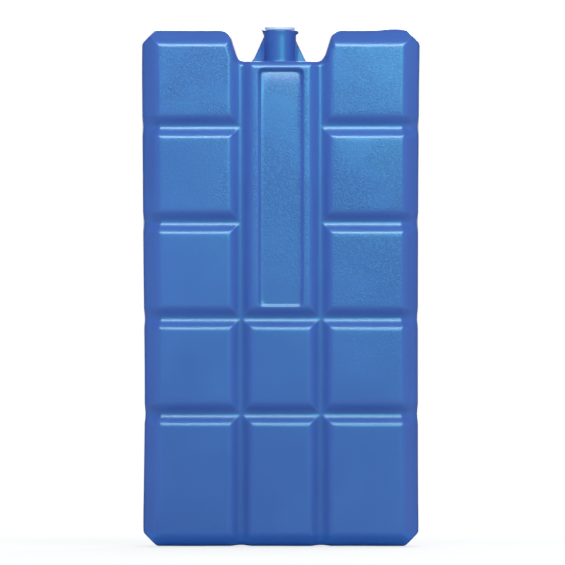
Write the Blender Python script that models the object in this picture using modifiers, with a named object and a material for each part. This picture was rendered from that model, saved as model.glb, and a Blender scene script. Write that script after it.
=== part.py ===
"""Reusable ice pack: a blow-moulded block of raised pillows with a plugged filler neck.

The front faces -Y and the neck points up +Z. The origin is at the middle of the bottom end,
on the parting plane y = 0, where the two mould halves meet. The back repeats the front.
"""
import math

import bmesh
import bpy
from mathutils import Matrix, Vector

MM = 0.001

# The block at its parting line
BODY_WIDTH = 90.0 * MM
BODY_HEIGHT = 167.4 * MM
BODY_THICKNESS = 33.0 * MM
BOTTOM_NARROWING = 0.4 * MM
SIDE_WAIST = 0.35 * MM
SIDE_DRAFT = 0.2 * MM
CORNER_CUT = 4.3 * MM

# The grooves between the pillows, measured from their centre lines
GROOVE_HALF_WIDTH = 3.25 * MM
VALLEY_HALF_WIDTH = 1.05 * MM
GROOVE_DEPTH = 2.5 * MM
CENTRE_COLUMN = 25.9 * MM
BOTTOM_ROW = 43.0 * MM
TOP_ROW = 31.2 * MM
ROWS = 5
PANEL_ROWS = 3

# The sloping flanks from the pillows' faces out to the block's band
FLANK_SIDE = 4.6 * MM
FLANK_TOP = 4.45 * MM
FLANK_BOTTOM = 3.8 * MM
FLANK_DEPTH = 4.8 * MM
RUNOUT_AT_FLANK = 0.8 * MM
RUNOUT_AT_PARTING = 0.25 * MM
PILLOW_EDGE_ROUND = 1.0 * MM
GROOVE_ROUND = 0.7 * MM
FLANK_EDGE_ROUND = 0.9 * MM
CORNER_ROUND = 2.0 * MM
ROUND_STEPS = 3

# The notch that the filler neck stands in
NOTCH_DEPTH = 10.3 * MM
NOTCH_FLOOR_OVERLAP = 0.8 * MM
NOTCH_SIDE_LEAN = 3.25 * MM
NOTCH_DRAFT = 1.5 * MM
NOTCH_FLOOR_ROUND = 3.8 * MM
SHOULDER_ROUND = 3.8 * MM
PANEL_TOP_MARGIN = 0.8 * MM

# The bare recessed field of the long centre panel
FIELD_SIDE_MARGIN = 2.05 * MM
FIELD_TOP_MARGIN = 1.1 * MM
FIELD_FOOT_MARGIN = 0.6 * MM
FIELD_DEPTH = 0.9 * MM
FIELD_WALL_SLOPE = 0.9 * MM
FIELD_CORNER_ROUND = 1.8 * MM

# The filler neck, its webs of pinched wall and its socket
NECK_DIAMETER = 10.2 * MM
NECK_RISE = 10.4 * MM
NECK_ROOT_ROUND = 0.6 * MM
NECK_WALL = 1.2 * MM
LIP_OVERHANG = 0.6 * MM
LIP_HEIGHT = 1.2 * MM
WEB_REACH = 3.4 * MM
WEB_RISE = 7.8 * MM
WEB_THICKNESS = 1.3 * MM
SOCKET_DEPTH = 8.0 * MM
NECK_FACETS = 40

# The plug pressed into the neck
PLUG_CLEARANCE = 0.3 * MM
PLUG_END_CLEARANCE = 1.2 * MM
PLUG_HEAD_SETBACK = 0.85 * MM
PLUG_HEAD_HEIGHT = 1.0 * MM
PLUG_HEAD_ROUND = 0.35 * MM
PLUG_CROWN = 0.15 * MM
PLUG_NOSE = 0.6 * MM

# An inner edge bent by more than this is rounded as a groove's
GROOVE_EDGE_ANGLE = math.radians(10)

# How far tools reach past what they cut or join, and the distance at which points are one
EMBED = 3.0 * MM
OVERSHOOT = 5.0 * MM
WELD = 0.05 * MM

# Positions that follow from the sizes above
HALF_WIDTH = BODY_WIDTH / 2
HALF_THICKNESS = BODY_THICKNESS / 2
SLOPE_WIDTH = GROOVE_HALF_WIDTH - VALLEY_HALF_WIDTH
NOTCH_FLOOR = BODY_HEIGHT - NOTCH_DEPTH
PANEL_TOP = NOTCH_FLOOR - PANEL_TOP_MARGIN
NECK_TOP = NOTCH_FLOOR + NECK_RISE
NECK_RADIUS = NECK_DIAMETER / 2
LIP_RADIUS = NECK_RADIUS + LIP_OVERHANG
SOCKET_RADIUS = NECK_RADIUS - NECK_WALL
ROW_PITCH = (BODY_HEIGHT - BOTTOM_ROW - TOP_ROW) / (ROWS - 2)
ROW_GROOVES = [BOTTOM_ROW + ROW_PITCH * row for row in range(ROWS - 1)]
COLUMN_GROOVES = [-CENTRE_COLUMN / 2, CENTRE_COLUMN / 2]


def clear_scene():
    for item in list(bpy.data.objects):
        bpy.data.objects.remove(item)


def new_collection(name):
    group = bpy.data.collections.new(name)
    bpy.context.scene.collection.children.link(group)
    return group


def plastic(name, colour, roughness):
    """A smooth moulded plastic."""
    finish = bpy.data.materials.new(name)
    finish.use_nodes = True
    shader = finish.node_tree.nodes["Principled BSDF"]
    shader.inputs["Base Color"].default_value = (*colour, 1.0)
    shader.inputs["Roughness"].default_value = roughness
    shader.inputs["Metallic"].default_value = 0.0
    return finish


def mesh_object(name, bm, group):
    mesh = bpy.data.meshes.new(name)
    bm.to_mesh(mesh)
    bm.free()
    item = bpy.data.objects.new(name, mesh)
    group.objects.link(item)
    return item


def as_tool(item):
    """Mark an object as one that only cuts or joins another."""
    item.hide_render = True
    item.display_type = "WIRE"
    return item


def rounded_outline(corners, radii, steps=4):
    """Replace each corner of a closed outline by an arc of its own radius, tangent to both sides."""
    points = []
    for index, corner in enumerate(corners):
        here = Vector(corner)
        back = (Vector(corners[index - 1]) - here).normalized()
        ahead = (Vector(corners[(index + 1) % len(corners)]) - here).normalized()
        radius = radii[index]
        half_angle = back.angle(ahead) / 2
        if radius == 0.0:
            points.append(here)
            continue
        centre = here + (back + ahead).normalized() * radius / math.sin(half_angle)
        start = here + back * radius / math.tan(half_angle) - centre
        turn = (math.pi - 2 * half_angle) * (1 if back.cross(ahead) < 0 else -1)
        for step in range(steps + 1):
            spoke = start.copy()
            spoke.rotate(Matrix.Rotation(turn * step / steps, 2))
            points.append(centre + spoke)
    return points


def outline_solid(name, outline, half_depth, group):
    """Fill a flat outline in the XZ plane and extrude it half_depth each way from y = 0."""
    curve = bpy.data.curves.new(name, "CURVE")
    curve.dimensions = "2D"
    curve.fill_mode = "BOTH"
    curve.extrude = half_depth
    spline = curve.splines.new("POLY")
    spline.points.add(len(outline) - 1)
    for point, (x, z) in zip(spline.points, outline):
        point.co = (x, z, 0.0, 1.0)
    spline.use_cyclic_u = True
    flat = bpy.data.objects.new(name, curve)
    flat.rotation_euler.x = math.pi / 2
    group.objects.link(flat)
    bpy.context.view_layer.update()
    evaluated = flat.evaluated_get(bpy.context.evaluated_depsgraph_get())
    mesh = bpy.data.meshes.new_from_object(evaluated)
    solid = bpy.data.objects.new(name, mesh)
    solid.matrix_world = flat.matrix_world
    bpy.data.objects.remove(flat)
    group.objects.link(solid)
    mesh.transform(solid.matrix_world)
    solid.matrix_world = Matrix.Identity(4)
    bm = bmesh.new()
    bm.from_mesh(mesh)
    bmesh.ops.remove_doubles(bm, verts=bm.verts, dist=WELD)
    bmesh.ops.recalc_face_normals(bm, faces=bm.faces)
    bm.to_mesh(mesh)
    bm.free()
    return solid


def turned_solid(name, profile, group):
    """Turn a profile of (radius, height) points, listed from the top down, about the Z axis."""
    bm = bmesh.new()
    line = [bm.verts.new((radius, 0.0, height)) for radius, height in profile]
    for upper, lower in zip(line, line[1:]):
        bm.edges.new((upper, lower))
    item = mesh_object(name, bm, group)
    screw = item.modifiers.new("turn", "SCREW")
    screw.axis = "Z"
    screw.steps = NECK_FACETS
    screw.render_steps = NECK_FACETS
    screw.use_merge_vertices = True
    screw.merge_threshold = WELD
    return item


def arc(centre_radius, centre_height, radius, first, last, steps=ROUND_STEPS):
    """Points of a round in a turned profile, between two angles in degrees."""
    points = []
    for step in range(steps + 1):
        angle = math.radians(first + (last - first) * step / steps)
        points.append((centre_radius + radius * math.cos(angle), centre_height + radius * math.sin(angle)))
    return points


def combine(target, operation, tool):
    step = target.modifiers.new(tool.name, "BOOLEAN")
    step.operation = operation
    step.object = tool
    step.solver = "EXACT"


class Rim:
    """A rectangle of the block's edge at one depth below the faces."""

    def __init__(self, side, bottom, top, depth):
        self.side = side
        self.bottom = bottom
        self.top = top
        self.depth = depth


# Where the pillow grid ends, where the flanks end, and the parting line
GRID_RIM = Rim(
    HALF_WIDTH - SIDE_DRAFT - FLANK_SIDE + SLOPE_WIDTH,
    FLANK_BOTTOM - SLOPE_WIDTH,
    BODY_HEIGHT - SIDE_DRAFT - FLANK_TOP + SLOPE_WIDTH,
    GROOVE_DEPTH,
)
FLANK_RIM = Rim(HALF_WIDTH - SIDE_DRAFT, 0.0, BODY_HEIGHT - SIDE_DRAFT, FLANK_DEPTH)
PARTING_RIM = Rim(HALF_WIDTH, 0.0, BODY_HEIGHT, HALF_THICKNESS)


def edges_of(faces):
    """The edges of some faces, each once and always in the same order."""
    return list(dict.fromkeys(edge for face in faces for edge in face.edges))


def split_across(bm, faces, place):
    """Cut the given faces by the upright plane at one distance from the middle."""
    bmesh.ops.bisect_plane(
        bm, geom=faces + edges_of(faces), dist=WELD, plane_co=(place, 0, 0), plane_no=(1, 0, 0)
    )


def split_level(bm, faces, height):
    """Cut the given faces by the level plane at one height."""
    bmesh.ops.bisect_plane(
        bm, geom=faces + edges_of(faces), dist=WELD, plane_co=(0, 0, height), plane_no=(0, 0, 1)
    )


def groove_near(value, grooves, reach):
    return any(abs(value - groove) < reach for groove in grooves)


def is_valley(face):
    """A valley floor is one of the narrow strips that the grid's cuts leave along each groove."""
    across = max(vert.co.x for vert in face.verts) - min(vert.co.x for vert in face.verts)
    along = max(vert.co.z for vert in face.verts) - min(vert.co.z for vert in face.verts)
    return min(across, along) < 2 * VALLEY_HALF_WIDTH + WELD


def outer_column_faces(bm):
    limit = CENTRE_COLUMN / 2 + VALLEY_HALF_WIDTH
    return [face for face in bm.faces if abs(face.calc_center_median().x) > limit]


def centre_column_faces(bm):
    limit = CENTRE_COLUMN / 2 - VALLEY_HALF_WIDTH
    return [face for face in bm.faces if abs(face.calc_center_median().x) < limit]


def pillow_sheet():
    """Lay out the front as a grid of cells between valleys, and raise a pillow on each cell."""
    bm = bmesh.new()
    width = 2 * GRID_RIM.side
    height = GRID_RIM.top - GRID_RIM.bottom
    place = Matrix.Translation((0, -HALF_THICKNESS + GROOVE_DEPTH, GRID_RIM.bottom + height / 2))
    upright = Matrix.Rotation(math.pi / 2, 4, "X")
    stretch = Matrix.Diagonal((width, height, 1, 1))
    bmesh.ops.create_grid(bm, x_segments=1, y_segments=1, size=0.5, matrix=place @ upright @ stretch)
    for column in COLUMN_GROOVES:
        for side in (-VALLEY_HALF_WIDTH, VALLEY_HALF_WIDTH):
            split_across(bm, bm.faces[:], column + side)
    for index, row in enumerate(ROW_GROOVES):
        for side in (-VALLEY_HALF_WIDTH, VALLEY_HALF_WIDTH):
            crosses_panel = index >= ROWS - PANEL_ROWS
            faces = outer_column_faces(bm) if crosses_panel else bm.faces[:]
            split_level(bm, faces, row + side)
    split_level(bm, centre_column_faces(bm), PANEL_TOP + SLOPE_WIDTH)
    above_panel = [face for face in centre_column_faces(bm) if face.calc_center_median().z > PANEL_TOP]
    cells = [face for face in bm.faces if not is_valley(face) and face not in above_panel]
    bmesh.ops.inset_individual(
        bm, faces=cells, thickness=SLOPE_WIDTH, depth=GROOVE_DEPTH, use_even_offset=True
    )
    return bm, cells


def drop_to(bm, start, end):
    """Carry the sheet's open edge from one rim of the block to the next."""
    border = [edge for edge in bm.edges if edge.is_boundary]
    ring = bmesh.ops.extrude_edge_only(bm, edges=border)["geom"]
    for vert in (item for item in ring if isinstance(item, bmesh.types.BMVert)):
        if abs(abs(vert.co.x) - start.side) < WELD:
            vert.co.x = math.copysign(end.side, vert.co.x)
        if abs(vert.co.z - start.bottom) < WELD:
            vert.co.z = end.bottom
        elif abs(vert.co.z - start.top) < WELD:
            vert.co.z = end.top
        vert.co.y = -HALF_THICKNESS + end.depth


def run_out_grooves(bm):
    """Let each groove run on down the flank and the band as a shallow trough, to the parting line."""
    for side in (-GROOVE_HALF_WIDTH, GROOVE_HALF_WIDTH):
        for groove in ROW_GROOVES:
            flanks = [face for face in bm.faces if abs(face.calc_center_median().x) > GRID_RIM.side - SLOPE_WIDTH]
            split_level(bm, flanks, groove + side)
        for groove in COLUMN_GROOVES:
            foot = [face for face in bm.faces if face.calc_center_median().z < GRID_RIM.bottom + SLOPE_WIDTH]
            split_across(bm, foot, groove + side)
    reach = VALLEY_HALF_WIDTH + WELD
    for rim, inward in ((GRID_RIM, RUNOUT_AT_FLANK), (FLANK_RIM, RUNOUT_AT_FLANK), (PARTING_RIM, RUNOUT_AT_PARTING)):
        for vert in bm.verts:
            if abs(vert.co.y + HALF_THICKNESS - rim.depth) > WELD:
                continue
            on_side = abs(abs(vert.co.x) - rim.side) < WELD
            on_bottom = abs(vert.co.z - rim.bottom) < WELD
            if on_side and groove_near(vert.co.z, ROW_GROOVES, reach):
                vert.co.x -= math.copysign(inward, vert.co.x)
            if on_bottom and groove_near(vert.co.x, COLUMN_GROOVES, reach):
                vert.co.z += inward


def level_base(bm):
    """Bring back the few points that the rounding pushed just below the flat bottom end."""
    for vert in bm.verts:
        vert.co.z = max(vert.co.z, 0.0)


def draw_in_sides(bm):
    """Narrow the block a little towards the bottom, and in at the waist, as the real moulding is."""
    for vert in bm.verts:
        share = vert.co.z / BODY_HEIGHT
        pull = BOTTOM_NARROWING * (1 - share) + SIDE_WAIST * 4 * share * (1 - share)
        vert.co.x *= 1 - pull / HALF_WIDTH


def round_edges(bm, edges, width):
    bmesh.ops.bevel(
        bm, geom=edges, offset=width, offset_type="OFFSET", segments=ROUND_STEPS, profile=0.5, affect="EDGES",
    )


def is_flank_edge(edge):
    """The flanks end at one depth all round the block."""
    return all(abs(vert.co.y + HALF_THICKNESS - FLANK_DEPTH) < WELD for vert in edge.verts)


def make_block(group):
    bm, pillow_faces = pillow_sheet()
    drop_to(bm, GRID_RIM, FLANK_RIM)
    drop_to(bm, FLANK_RIM, PARTING_RIM)
    run_out_grooves(bm)
    bmesh.ops.recalc_face_normals(bm, faces=bm.faces)
    round_edges(bm, edges_of(pillow_faces), PILLOW_EDGE_ROUND)
    round_edges(bm, [edge for edge in bm.edges if is_flank_edge(edge)], FLANK_EDGE_ROUND)
    inner_edges = [edge for edge in bm.edges if edge.calc_face_angle_signed(0.0) < -GROOVE_EDGE_ANGLE]
    round_edges(bm, inner_edges, GROOVE_ROUND)
    level_base(bm)
    draw_in_sides(bm)
    bmesh.ops.recalc_face_normals(bm, faces=bm.faces)
    block = mesh_object("block_body", bm, group)
    mirror = block.modifiers.new("back half", "MIRROR")
    mirror.use_axis = (False, True, False)
    mirror.merge_threshold = WELD
    return block


def notch_tool(group):
    """The notch's outline, cut right through, with walls that lean out from the parting plane."""
    half_floor = CENTRE_COLUMN / 2 + NOTCH_FLOOR_OVERLAP
    half_mouth = half_floor + NOTCH_SIDE_LEAN
    half_top = half_mouth + OVERSHOOT
    clear_of_top = BODY_HEIGHT + SIDE_DRAFT
    top = clear_of_top + OVERSHOOT
    corners = [
        (-half_floor, NOTCH_FLOOR),
        (half_floor, NOTCH_FLOOR),
        (half_mouth, BODY_HEIGHT),
        (half_top, clear_of_top),
        (half_top, top),
        (-half_top, top),
        (-half_top, clear_of_top),
        (-half_mouth, BODY_HEIGHT),
    ]
    floor = NOTCH_FLOOR_ROUND
    shoulder = SHOULDER_ROUND
    outline = rounded_outline(corners, [floor, floor, shoulder, 0.0, 0.0, 0.0, 0.0, shoulder])
    tool = outline_solid("notch_tool", outline, HALF_THICKNESS + OVERSHOOT, group)
    bm = bmesh.new()
    bm.from_mesh(tool.data)
    bmesh.ops.bisect_plane(bm, geom=bm.verts[:] + bm.edges[:] + bm.faces[:], plane_co=(0, 0, 0), plane_no=(0, 1, 0))
    spread = NOTCH_DRAFT * (HALF_THICKNESS + OVERSHOOT) / HALF_THICKNESS
    for vert in bm.verts:
        if abs(vert.co.y) > WELD:
            vert.co.x += math.copysign(spread, vert.co.x)
    bm.to_mesh(tool.data)
    bm.free()
    return as_tool(tool)


def corner_tool(side, upright, group):
    """Takes off one outer corner at 45 degrees, with both ends of the cut rounded.

    The outline is drawn with the corner at (0, 0) and the block to its lower left.
    """
    outer = CORNER_CUT + OVERSHOOT
    corners = [
        (0.0, -CORNER_CUT), (-CORNER_CUT, 0.0), (-outer, SIDE_DRAFT),
        (-outer, OVERSHOOT), (OVERSHOOT, OVERSHOOT), (OVERSHOOT, -outer), (SIDE_DRAFT, -outer),
    ]
    outline = rounded_outline(corners, [CORNER_ROUND, CORNER_ROUND, 0.0, 0.0, 0.0, 0.0, 0.0])
    level, pull = (BODY_HEIGHT, 0.0) if upright > 0 else (0.0, BOTTOM_NARROWING)
    placed = [(side * (HALF_WIDTH - pull + x), level + upright * z) for x, z in outline]
    return as_tool(outline_solid("corner_tool", placed, HALF_THICKNESS + OVERSHOOT, group))


def field_tool(group):
    """The round-cornered recess of the long panel, front and back, with sloping walls."""
    half_width = CENTRE_COLUMN / 2 - GROOVE_HALF_WIDTH - FIELD_SIDE_MARGIN
    low = ROW_GROOVES[ROWS - PANEL_ROWS - 1] + GROOVE_HALF_WIDTH + FIELD_FOOT_MARGIN
    high = PANEL_TOP - FIELD_TOP_MARGIN
    middle = (low + high) / 2
    corners = [(-half_width, low), (half_width, low), (half_width, high), (-half_width, high)]
    outline = rounded_outline(corners, [FIELD_CORNER_ROUND] * 4)
    tool = outline_solid("field_tool", outline, FIELD_DEPTH, group)
    for vert in tool.data.vertices:
        widen = -math.copysign(FIELD_WALL_SLOPE, vert.co.y)
        vert.co.x += math.copysign(1, vert.co.x) * widen
        vert.co.z += math.copysign(1, vert.co.z - middle) * widen
        vert.co.y -= HALF_THICKNESS
    mirror = tool.modifiers.new("back field", "MIRROR")
    mirror.use_axis = (False, True, False)
    mirror.use_mirror_merge = False
    return as_tool(tool)


def neck_tool(group):
    """The neck as a turned solid: lip, barrel and a small round where it meets the notch floor."""
    under_lip = NECK_TOP - LIP_HEIGHT
    root = NECK_RADIUS + NECK_ROOT_ROUND
    profile = [(0.0, NECK_TOP), (LIP_RADIUS, NECK_TOP), (LIP_RADIUS, under_lip + LIP_OVERHANG)]
    profile.append((NECK_RADIUS, under_lip))
    profile += arc(root, NOTCH_FLOOR + NECK_ROOT_ROUND, NECK_ROOT_ROUND, 180, 270)
    profile += [(root, NOTCH_FLOOR - EMBED), (0.0, NOTCH_FLOOR - EMBED)]
    return as_tool(turned_solid("neck_tool", profile, group))


def web_tool(group):
    """The two thin webs of pinched wall that stand beside the neck on the parting plane."""
    foot = NECK_RADIUS + WEB_REACH
    top = NOTCH_FLOOR + WEB_RISE
    outline = [
        (-foot, NOTCH_FLOOR - EMBED), (foot, NOTCH_FLOOR - EMBED), (foot, NOTCH_FLOOR),
        (NECK_RADIUS, top), (-NECK_RADIUS, top), (-foot, NOTCH_FLOOR),
    ]
    return as_tool(outline_solid("web_tool", outline, WEB_THICKNESS / 2, group))


def socket_tool(group):
    """The bore that takes the plug's shank, open at the neck's mouth."""
    top = NECK_TOP + OVERSHOOT
    floor = NECK_TOP - SOCKET_DEPTH
    profile = [(0.0, top), (SOCKET_RADIUS, top), (SOCKET_RADIUS, floor), (0.0, floor)]
    return as_tool(turned_solid("socket_tool", profile, group))


def make_plug(group):
    """A round-headed plug: a low crowned head over a shank with a lead-in nose."""
    head = LIP_RADIUS - PLUG_HEAD_SETBACK
    shank = SOCKET_RADIUS - PLUG_CLEARANCE
    seat = NECK_TOP + PLUG_CLEARANCE
    top = seat + PLUG_HEAD_HEIGHT
    foot = NECK_TOP - SOCKET_DEPTH + PLUG_END_CLEARANCE
    profile = [(0.0, top)]
    profile += arc(head - PLUG_HEAD_ROUND, top - PLUG_CROWN - PLUG_HEAD_ROUND, PLUG_HEAD_ROUND, 90, 0)
    profile += [(head, seat), (shank, seat), (shank, foot + PLUG_NOSE), (shank - PLUG_NOSE, foot), (0.0, foot)]
    return turned_solid("neck_plug", profile, group)


def main():
    clear_scene()
    parts = new_collection("reusable_ice_pack")
    tools = new_collection("cutters")
    block = make_block(parts)
    combine(block, "DIFFERENCE", notch_tool(tools))
    for side in (-1, 1):
        for upright in (-1, 1):
            combine(block, "DIFFERENCE", corner_tool(side, upright, tools))
    combine(block, "DIFFERENCE", field_tool(tools))
    combine(block, "UNION", web_tool(tools))
    combine(block, "UNION", neck_tool(tools))
    combine(block, "DIFFERENCE", socket_tool(tools))
    plug = make_plug(parts)
    block.data.materials.append(plastic("blue moulded plastic", (0.054, 0.141, 0.434), 0.38))
    plug.data.materials.append(plastic("pale plug plastic", (0.62, 0.70, 0.82), 0.45))
    plug.data.shade_smooth()
    plug.data.set_sharp_from_angle(angle=math.radians(35))


main()
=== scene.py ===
"""A blow-moulded freezer block for a cool box, standing on its flat end on a pale studio floor.

The front faces -Y and the neck points up +Z. Lengths in the shape functions are in millimetres,
and as_mesh turns them into metres. The two mould halves meet on the plane y = 0.
"""
import math

import bpy
import numpy as np
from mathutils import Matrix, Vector


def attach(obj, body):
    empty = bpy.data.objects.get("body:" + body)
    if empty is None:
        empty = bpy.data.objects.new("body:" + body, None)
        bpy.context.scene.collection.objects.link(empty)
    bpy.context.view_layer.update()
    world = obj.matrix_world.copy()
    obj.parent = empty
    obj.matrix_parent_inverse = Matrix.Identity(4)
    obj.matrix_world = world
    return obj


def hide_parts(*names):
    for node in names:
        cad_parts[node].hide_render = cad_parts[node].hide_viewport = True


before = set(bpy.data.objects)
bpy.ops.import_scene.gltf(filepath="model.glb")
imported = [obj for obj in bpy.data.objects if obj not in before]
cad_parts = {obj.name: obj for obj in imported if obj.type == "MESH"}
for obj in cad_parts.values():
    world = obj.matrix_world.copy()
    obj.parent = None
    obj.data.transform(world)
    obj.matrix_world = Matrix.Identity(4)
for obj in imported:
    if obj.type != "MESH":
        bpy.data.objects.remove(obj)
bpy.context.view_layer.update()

# Metres in a millimetre, and the side of the square picture
MM = 0.001
IMAGE_PIXELS = 565

# The camera stands far off and level, so the block is seen straight on
PIXEL = 0.325 * MM
CENTRE_PIXEL = 280.9
BASE_PIXEL = 545.6
CAMERA_DISTANCE = 5.0

# The block at its parting line, whose waist comes in over CORNER_FADE from the corner cuts
HALF_WIDTH = 45.0
HEIGHT = 167.4
HALF_THICKNESS = 16.5
BOTTOM_NARROWING = 0.4
SIDE_WAIST = 0.35
CORNER_CUT = 4.3
CORNER_ROUND = 2.0
CORNER_FADE = 12.0

# How this one moulding cooled: the left side sank in low down, and the right shoulder bulged
LEFT_SINK = 0.45
LEFT_SWELL = 0.2
SINK_HEIGHT = 48.0
SINK_SPREAD = 35.0
BULGE = 0.72
BULGE_CENTRE = 36.4
BULGE_SPREAD = 3.8
BULGE_REACH = 2.2
BULGE_AT_EDGE = 0.7

# The grooves between the pillows; NO_GROOVE is a depth that every other one exceeds
GROOVE_HALF = 3.25
GROOVE_DEPTH = 2.5
GROOVE_SLOPE = GROOVE_DEPTH / 2.2
COLUMN_GROOVE = 12.95
ROW_GROOVES = (43.0, 74.07, 105.13, 136.2)
ROWS_BELOW_PANEL = 2
NO_GROOVE = -50.0

# The flanks from the faces out to the band
FLANK_DEPTH = 4.8
FLANK_REACH = 4.8
FLANK_SLOPE = FLANK_DEPTH / 4.4
TOP_FLANK_REACH = 4.65
TOP_FLANK_SLOPE = FLANK_DEPTH / 4.6
BOTTOM_FLANK_REACH = 3.8
BOTTOM_FLANK_SLOPE = FLANK_DEPTH / 3.8

# The troughs in which the grooves run out over the flanks, the band and the parting line
TROUGH_HALF = 3.7
TROUGH_AT_FLANK = 0.8
TROUGH_AT_HEAD = 2.0
TROUGH_HEAD_FROM = 1.5
TROUGH_HEAD_RUN = 3.6
TROUGH_AT_BAND = 0.3
TROUGH_AT_PARTING = 0.4
SIDE_TROUGH_AT_FOOT = 0.8
SIDE_TROUGH_LOSS = 0.65

# The notch that the neck stands in
NOTCH_FLOOR = 157.12
NOTCH_HALF_FLOOR = 13.75
NOTCH_HALF_MOUTH = 17.0
NOTCH_ROUND = 3.8
NOTCH_WALL_FLANK = 1.85
NOTCH_FLOOR_FLANK = 1.33
NOTCH_WALL_FROM = 13.0
NOTCH_GROOVE_END = 158.0
NOTCH_FADE = 2.0

# How wide the blends are between neighbouring slopes
EDGE_BLEND = 1.15
VALLEY_BLEND = 1.25
MITRE_BLEND = 0.45
FLANK_BLEND = 0.2

# The recessed field of the long panel, whose floor dips at its head and rises at its foot
FIELD_HALF_WIDTH = 7.65
FIELD_LOW = 77.3
FIELD_HIGH = 155.2
FIELD_ROUND = 2.0
FIELD_DEPTH = 1.05
FIELD_WALL = 1.35
HEAD_DIP = 1.2
HEAD_DIP_LENGTH = 5.4
FOOT_RISE = 0.36
FOOT_RISE_LENGTH = 12.0

# The faces' crown, and the height and wavelength of the skin's unevenness
CROWN = 0.2
CROWN_DEPTH = 1.4
LONG_WAVE, LONG_WAVELENGTH = 0.035, 26.0
SHORT_WAVE, SHORT_WAVELENGTH = 0.012, 9.0
RIM_WAVE, RIM_WAVELENGTH = 0.035, 22.0
FRONT_SEED, BACK_SEED, RIM_SEED = 11, 31, 7

# The turned-over edge between the flanks and the band, crisper over the long panel
EDGE_INSET = 1.4
PANEL_EDGE_INSET = 0.7
BAND_INSET = 0.08
EDGE_DROP = 0.8
PANEL_EDGE_DROP = 0.3
SEAM_RISE = 0.1
SEAM_HALF = 0.28
NOTCH_SAG = 0.15

# Where the outline is the side, the bottom or the long panel's head, and how softly each ends
SIDE_FROM = 40.0
BOTTOM_BELOW = 4.0
SIDE_FADE = 3.0
HEAD_HALF = 13.5
HEAD_FADE = 2.5

# Where the sheet's grid begins to be pulled to the outline
PULL_LOW = 14.0
PULL_HIGH = 145.0
PULL_SIDE = 36.0

# The skin's ridges, and how level and how shallow a face is
RIDGE_BEND = 0.6
FACE_SLOPE, FACE_SLOPE_FADE = 0.18, 0.14
FACE_DEPTH, FACE_DEPTH_FADE = 2.05, 0.2

# The neck, turned on an axis a little left of the middle
NECK_RADIUS = 5.2
LIP_RADIUS = 5.34
NECK_TOP = 167.5
SOCKET_RADIUS = 3.9
NECK_SHIFT = -0.32

# The webs beside the neck: (across, up) along each outer edge, and half the thickness
LEFT_WEB = [(-9.7, 157.0), (-8.9, 157.7), (-8.35, 158.4), (-5.2, 165.4)], 0.62
RIGHT_WEB = [(8.8, 157.0), (8.35, 157.6), (7.9, 158.4), (5.0, 164.6)], 0.55

# The plug's nose, seat and top, and the radii of its shank and head
PLUG_NOSE = 160.7
PLUG_SEAT = 167.6
PLUG_TOP = 168.8
PLUG_SHANK = 3.6
PLUG_HEAD = 4.85

# Colours in linear light
DEEP_BLUE = (0.056, 0.113, 0.445, 1.0)
LIGHT_BLUE = (0.061, 0.126, 0.477, 1.0)
# Painted bounce light: a deeper blue on the down-facing foot, for light thrown up from below
PAINTED_BOUNCE_BLUE = (0.03, 0.15, 0.63, 1.0)
# Painted glint: a lighter blue on the pebbles' tops, towards the top and the right
PAINTED_GLINT_BLUE = (0.075, 0.25, 0.62, 1.0)
GREEN_TINT = (0.05, 1.0, 0.5, 1.0)
PLUG_DULL = (0.6, 0.68, 0.86, 1.0)
PLUG_PALE = (0.68, 0.75, 0.9, 1.0)
WHITE = (1.0, 1.0, 1.0, 1.0)
FLOOR_GREY = (0.9, 0.9, 0.9, 1.0)
CARD_GREY = (0.03, 0.03, 0.03, 1.0)

# Where the mould's blasting begins and is full, up the block and a little across, and where the
# painted bounce light, a deeper blue on the foot, begins to end and has ended, all in metres
BLASTED = (0.066, 0.128)
PAINTED_BOUNCE_END = (0.0015, 0.006)

# How many lumps of each noise there are in a metre
CLOUDS = 38.0
PATCHES = 85.0
PEEL = 520.0
PEBBLES = 1900.0
PLUG_CLOUDS = 420.0

# The even light on the block, and the least share of pure white in the camera's view of the floor
WORLD_LEVEL = 0.42
NEAR_WHITE = 0.72

# The soft boxes: place, target, (width, height), watts, colour, which rays miss it, and its spread
LAMPS = {
    "high_key": ((0.04, -0.25, 0.40), (0.0, 0.0, 0.11), (0.36, 0.1), 0.62, (0.95, 0.97, 1.0)),
    "low_key": ((0.05, -0.42, 0.34), (0.0, 0.0, 0.10), (0.4, 0.1), 0.8, (0.65, 0.9, 1.0)),
    "near": (
        (0.125, -0.45, 0.215), (0.0, 0.0, 0.13), (0.22, 0.14), 0.5, (0.2, 1.0, 1.0), "diffuse"
    ),
    "strip": (
        (0.03, -0.17, 0.26), (0.03, 0.0, 0.15), (0.3, 0.06), 0.045, (0.7, 0.97, 1.0), "diffuse", 60
    ),
    "left_fill": (
        (-0.6, -0.05, 0.1), (0.0, 0.0, 0.09), (0.2, 0.4), 0.9, (0.6, 0.88, 1.0), "glossy"
    ),
    "back_key": ((0.1, 0.7, 0.5), (0.0, 0.0, 0.09), (0.6, 0.3), 4.5, WHITE[:3]),
    "right_fill": ((0.6, -0.05, 0.1), (0.0, 0.0, 0.09), (0.2, 0.4), 0.62, WHITE[:3], "glossy"),
}


def place_camera():
    """A long lens on the object's middle, one pixel to 0.325 mm at the parting plane."""
    lens_data = bpy.data.cameras.new("camera")
    camera = bpy.data.objects.new("camera", lens_data)
    bpy.context.scene.collection.objects.link(camera)
    middle = IMAGE_PIXELS / 2
    camera.location = (
        (middle - CENTRE_PIXEL) * PIXEL, -CAMERA_DISTANCE, (BASE_PIXEL - middle) * PIXEL
    )
    camera.rotation_euler = (math.pi / 2, 0.0, 0.0)
    lens_data.lens = lens_data.sensor_width * CAMERA_DISTANCE / (IMAGE_PIXELS * PIXEL)
    lens_data.clip_start = 0.1
    lens_data.clip_end = 60.0
    bpy.context.scene.camera = camera


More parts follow.
